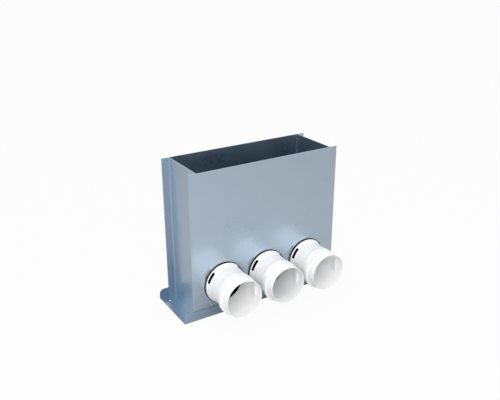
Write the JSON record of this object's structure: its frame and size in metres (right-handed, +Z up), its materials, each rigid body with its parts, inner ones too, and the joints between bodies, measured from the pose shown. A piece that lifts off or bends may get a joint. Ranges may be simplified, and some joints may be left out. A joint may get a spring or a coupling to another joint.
{
  "type": "air distribution box",
  "caption": "Open-topped sheet steel air distribution box for a heat recovery ventilation system, with moulded duct spigots and sliding duct clips, standing in a base tray.",
  "frame": {"origin": "underside of the base tray, in the middle of its four fixing holes", "axes": "+Z up, towards the open top; the spigots point along -Y; +X to the right seen from the spigots' side"},
  "size_m": [0.386, 0.1979, 0.31],
  "materials": {
    "box_steel": "smooth galvanised sheet",
    "tray_steel": "smooth galvanised sheet",
    "sealant": "cured dark grey sealant",
    "spigot_plastic": "moulded, satin",
    "gasket_rubber": "matt black EPDM",
    "clip_plastic": "moulded, satin"
  },
  "bodies": {
    "box": {"base_tray": "tray_steel", "floor_pan": "box_steel", "front_panel": "box_steel", "back_panel": "box_steel", "left_side_wall": "box_steel", "right_side_wall": "box_steel", "front_left_sealant": "sealant", "front_right_sealant": "sealant", "back_left_sealant": "sealant", "back_right_sealant": "sealant", "floor_sealant": "sealant", "left_spigot": "spigot_plastic", "centre_spigot": "spigot_plastic", "right_spigot": "spigot_plastic", "left_gasket": "gasket_rubber", "centre_gasket": "gasket_rubber", "right_gasket": "gasket_rubber", "left_seal": "gasket_rubber", "centre_seal": "gasket_rubber", "right_seal": "gasket_rubber"},
    "left_clip_body": {"left_clip": "clip_plastic"},
    "centre_clip_body": {"centre_clip": "clip_plastic"},
    "right_clip_body": {"right_clip": "clip_plastic"}
  },
  "joints": [
    {"name": "left_clip_slide", "type": "slide", "parent": "box", "child": "left_clip_body", "axis": [0, 0, -1], "range_m": [0, 0.022]},
    {"name": "centre_clip_slide", "type": "slide", "parent": "box", "child": "centre_clip_body", "axis": [0, 0, -1], "range_m": [0, 0.022]},
    {"name": "right_clip_slide", "type": "slide", "parent": "box", "child": "right_clip_body", "axis": [0, 0, -1], "range_m": [0, 0.022]}
  ]
}
